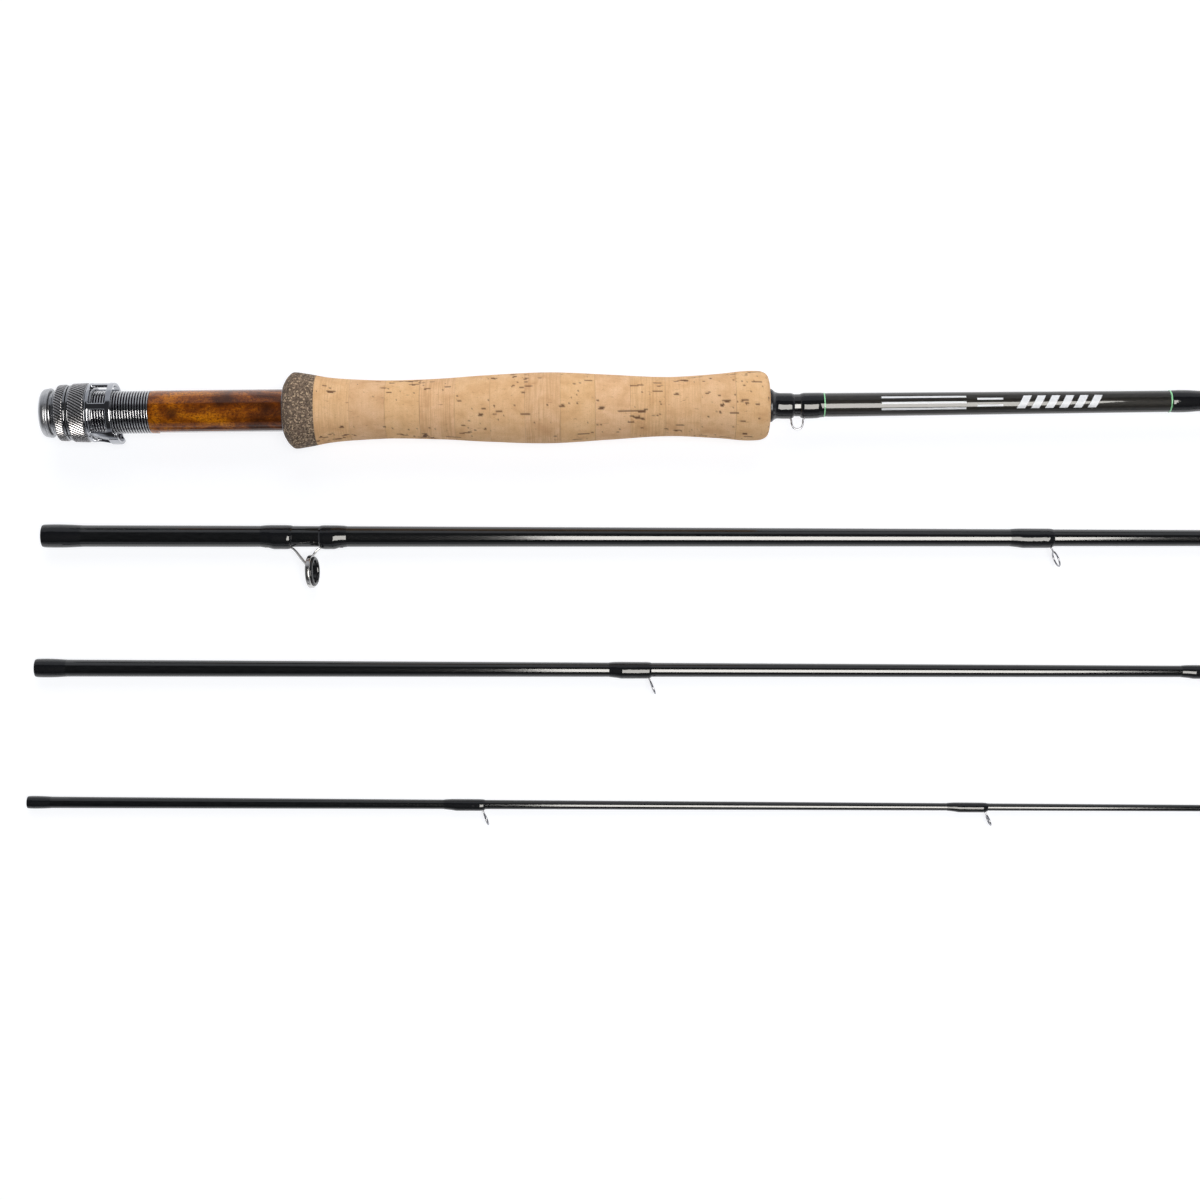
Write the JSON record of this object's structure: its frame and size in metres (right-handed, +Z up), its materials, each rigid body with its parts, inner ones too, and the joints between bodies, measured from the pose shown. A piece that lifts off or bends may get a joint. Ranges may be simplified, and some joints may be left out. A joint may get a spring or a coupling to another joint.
{
  "type": "fly rod",
  "caption": "Take-apart fly rod with a cork grip, up-locking reel seat with a screw-down hood, hook keeper and wire line guides, its sections laid side by side.",
  "frame": {"origin": "centre of the laid-out set's footprint, on the surface that the sections lie on", "axes": "+X along the sections from butt to tip, -Y towards the reel and guide side, +Z up"},
  "size_m": [0.7366, 0.1688, 0.0279],
  "materials": {
    "carbon_blank": "gloss",
    "black_thread": "gloss",
    "cork": "matte",
    "burl_cork": "matte",
    "polished_nickel": "polished",
    "knurled_nickel": "satin",
    "black_nylon": "matte",
    "arbor_fibre": "matte",
    "burl_wood": "gloss",
    "black_metal": "satin",
    "black_ceramic": "gloss",
    "bright_wire": "polished"
  },
  "bodies": {
    "butt_section": {"butt_blank": "carbon_blank", "butt_cap": "polished_nickel", "seat_barrel": "polished_nickel", "seat_arbor": "arbor_fibre", "wood_insert": "burl_wood", "fixed_hood": "polished_nickel", "burl_ring": "burl_cork", "cork_ring_01": "cork", "cork_ring_02": "cork", "cork_ring_03": "cork", "cork_ring_04": "cork", "cork_ring_05": "cork", "cork_ring_06": "cork", "cork_ring_07": "cork", "cork_ring_08": "cork", "cork_ring_09": "cork", "cork_ring_10": "cork", "cork_ring_11": "cork", "cork_ring_12": "cork", "cork_ring_13": "cork", "winding_check": "black_metal", "hook_keeper": "bright_wire", "keeper_wrap_rear": "black_thread", "keeper_wrap_front": "black_thread", "label_end_wrap": "black_thread"},
    "hood": {"sliding_hood": "polished_nickel"},
    "hood_nut": {"hood_nut": "knurled_nickel"},
    "washer": {"lock_washer": "black_nylon"},
    "lock_nut": {"lock_nut": "knurled_nickel"},
    "section_2": {"section_2_blank": "carbon_blank", "section_2_ferrule_wrap": "black_thread", "stripping_guide_frame": "bright_wire", "stripping_guide_ring": "black_ceramic", "stripping_wrap_rear": "black_thread", "stripping_wrap_front": "black_thread", "section_2_guide_2": "bright_wire", "section_2_guide_wrap_2": "black_thread", "section_2_guide_3": "bright_wire", "section_2_guide_wrap_3": "black_thread"},
    "section_3": {"section_3_blank": "carbon_blank", "section_3_ferrule_wrap": "black_thread", "section_3_guide_1": "bright_wire", "section_3_guide_2": "bright_wire", "section_3_guide_3": "bright_wire", "section_3_guide_wrap_1": "black_thread", "section_3_guide_wrap_2": "black_thread", "section_3_guide_wrap_3": "black_thread"},
    "tip_section": {"tip_blank": "carbon_blank", "tip_ferrule_wrap": "black_thread", "tip_guide_1": "bright_wire", "tip_guide_2": "bright_wire", "tip_guide_3": "bright_wire", "tip_guide_4": "bright_wire", "tip_guide_wrap_1": "black_thread", "tip_guide_wrap_2": "black_thread", "tip_guide_wrap_3": "black_thread", "tip_guide_wrap_4": "black_thread", "tip_top": "bright_wire", "tip_top_wrap": "black_thread"}
  },
  "joints": [
    {"name": "hood_slide", "type": "slide", "parent": "butt_section", "child": "hood", "axis": [0.9999, 0.0113, -0.0072], "range_m": [0, 0.019]},
    {"name": "hood_nut_spin", "type": "hinge", "parent": "hood", "child": "hood_nut", "pos_m": [-0.3447, 0.06926, 0.01453], "axis": [0.9999, 0.0113, -0.0072], "range_deg": [0, 6836]},
    {"name": "washer_slide", "type": "slide", "parent": "butt_section", "child": "washer", "axis": [0.9999, 0.0113, -0.0072], "range_m": [0, 0.019]},
    {"name": "lock_nut_spin", "type": "hinge", "parent": "washer", "child": "lock_nut", "pos_m": [-0.3517, 0.06918, 0.01458], "axis": [0.9999, 0.0113, -0.0072], "range_deg": [0, 6836]},
    {"name": "section_2_lift", "type": "slide", "parent": "butt_section", "child": "section_2", "axis": [0, 0, 1], "range_m": [0, 0.05]},
    {"name": "section_3_lift", "type": "slide", "parent": "butt_section", "child": "section_3", "axis": [0, 0, 1], "range_m": [0, 0.05]},
    {"name": "tip_section_lift", "type": "slide", "parent": "butt_section", "child": "tip_section", "axis": [0, 0, 1], "range_m": [0, 0.05]}
  ],
  "couplings": [
    {"joint": "hood_slide", "follows": "hood_nut_spin", "m_per_rad": 0.00015915},
    {"joint": "washer_slide", "follows": "hood_nut_spin", "m_per_rad": 0.00015915},
    {"joint": "lock_nut_spin", "follows": "hood_nut_spin", "ratio": 1}
  ]
}
